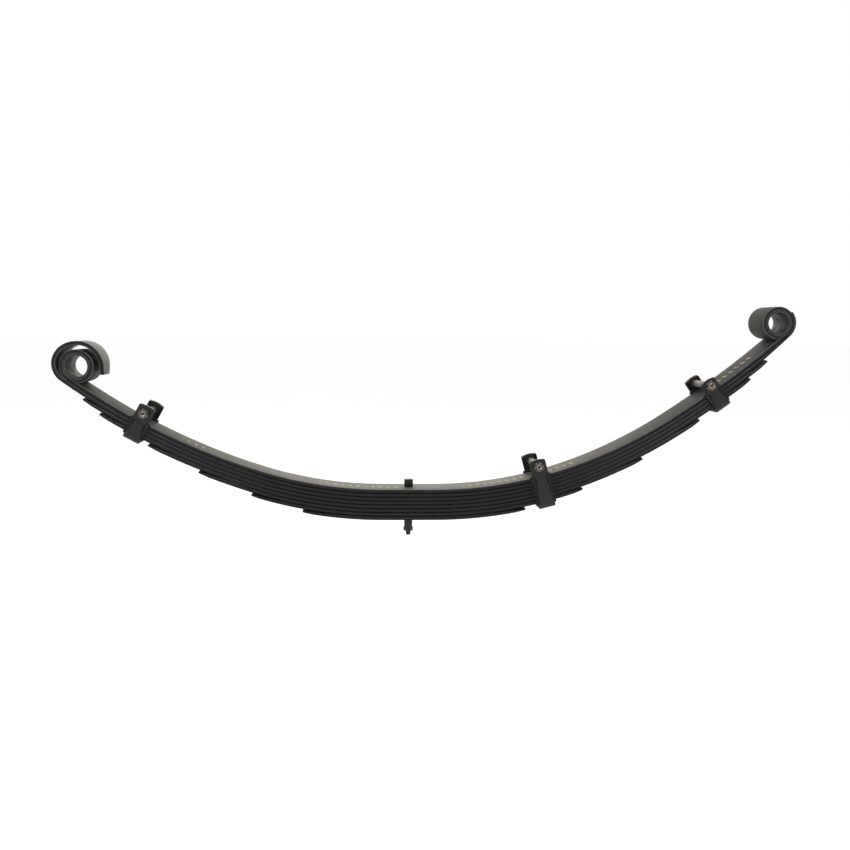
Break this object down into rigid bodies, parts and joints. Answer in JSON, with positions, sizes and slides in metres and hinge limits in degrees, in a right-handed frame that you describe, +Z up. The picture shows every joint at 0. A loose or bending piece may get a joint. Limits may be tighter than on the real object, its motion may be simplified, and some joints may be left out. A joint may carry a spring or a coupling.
{
  "type": "leaf spring",
  "caption": "Multi-leaf suspension spring pack with upturned rolled and sleeved eyes, a looped second leaf, bolted rebound clamps and a centre bolt with a locating head.",
  "frame": {"origin": "on the centre bolt's axis, in the plane of the main leaf's top face, where the axle seat lies", "axes": "+X along the spring towards the eye that stands higher, +Y across the leaves, +Z up out of the concave side"},
  "size_m": [1.1431, 0.0962, 0.3655],
  "materials": {
    "main_leaf_paint": "satin black paint that shows olive grey on the broad face",
    "leaf_paint": "satin black paint over rolled spring steel",
    "tip_pad": "matt black moulded anti-friction pad",
    "clamp_paint": "satin black paint over bent flat bar",
    "liner": "matt black moulded liner with a slight sheen on its edges",
    "spacer_zinc": "pale zinc plate, slightly creamy",
    "clamp_bolt_zinc": "yellow zinc plate, overspray near the paint",
    "eye_sleeve": "dark phosphated steel with a brownish olive cast inside",
    "centre_bolt_steel": "black paint over steel with bright thread crests"
  },
  "bodies": {
    "pack": {"centre_bolt": "centre_bolt_steel", "centre_bolt_collar": "centre_bolt_steel", "centre_bolt_nut": "centre_bolt_steel", "leaf_3": "leaf_paint", "leaf_4": "leaf_paint", "leaf_5": "leaf_paint", "leaf_6": "leaf_paint", "leaf_7": "leaf_paint", "leaf_8": "leaf_paint", "left_eye_sleeve": "eye_sleeve", "left_tip_pad_3": "tip_pad", "left_tip_pad_4": "tip_pad", "left_tip_pad_5": "tip_pad", "left_tip_pad_6": "tip_pad", "left_tip_pad_7": "tip_pad", "left_tip_pad_8": "tip_pad", "main_leaf": "main_leaf_paint", "right_eye_sleeve": "eye_sleeve", "right_tip_pad_3": "tip_pad", "right_tip_pad_4": "tip_pad", "right_tip_pad_5": "tip_pad", "right_tip_pad_6": "tip_pad", "right_tip_pad_7": "tip_pad", "right_tip_pad_8": "tip_pad", "second_leaf": "leaf_paint"},
    "left_end": {"left_clamp_bolt": "clamp_bolt_zinc", "left_clamp_liner": "liner", "left_clamp_nut": "clamp_bolt_zinc", "left_clamp_rivet": "clamp_paint", "left_clamp_spacer": "spacer_zinc", "left_clamp_strap": "clamp_paint", "left_clamp_washer": "clamp_paint"},
    "right_middle": {"middle_clamp_bolt": "clamp_bolt_zinc", "middle_clamp_liner": "liner", "middle_clamp_nut": "clamp_bolt_zinc", "middle_clamp_rivet": "clamp_paint", "middle_clamp_spacer": "spacer_zinc", "middle_clamp_strap": "clamp_paint", "middle_clamp_washer": "clamp_paint"},
    "right_end": {"right_clamp_bolt": "clamp_bolt_zinc", "right_clamp_liner": "liner", "right_clamp_nut": "clamp_bolt_zinc", "right_clamp_rivet": "clamp_paint", "right_clamp_spacer": "spacer_zinc", "right_clamp_strap": "clamp_paint", "right_clamp_washer": "clamp_paint"}
  },
  "joints": [
    {"name": "left_flex", "type": "hinge", "parent": "pack", "child": "left_end", "pos_m": [-0.23448, 0, 0.01473], "axis": [0, -1, 0], "range_deg": [-2, 12], "stiffness_Nm_per_rad": 4500, "deforming": ["main_leaf", "second_leaf", "leaf_3", "leaf_4", "leaf_5", "leaf_6", "leaf_7", "leaf_8", "left_tip_pad_3", "left_tip_pad_4", "left_tip_pad_5", "left_tip_pad_6", "left_tip_pad_7", "left_tip_pad_8"]},
    {"name": "right_inner_flex", "type": "hinge", "parent": "pack", "child": "right_middle", "pos_m": [0.11757, 0, -0.01745], "axis": [0, 1, 0], "range_deg": [-0.8, 5], "stiffness_Nm_per_rad": 9000, "deforming": ["main_leaf", "second_leaf", "leaf_3", "leaf_4", "leaf_5", "leaf_6", "leaf_7", "leaf_8", "right_tip_pad_3", "right_tip_pad_4", "right_tip_pad_5", "right_tip_pad_6", "right_tip_pad_7", "right_tip_pad_8"]},
    {"name": "right_outer_flex", "type": "hinge", "parent": "right_middle", "child": "right_end", "pos_m": [0.34029, 0, 0.06005], "axis": [0, 1, 0], "range_deg": [-1.6, 10], "stiffness_Nm_per_rad": 4500, "deforming": ["main_leaf", "second_leaf", "leaf_3", "leaf_4", "leaf_5", "leaf_6", "leaf_7", "right_tip_pad_3", "right_tip_pad_4", "right_tip_pad_5", "right_tip_pad_6", "right_tip_pad_7"]}
  ],
  "couplings": [
    {"joint": "right_outer_flex", "follows": "right_inner_flex", "ratio": 2}
  ]
}
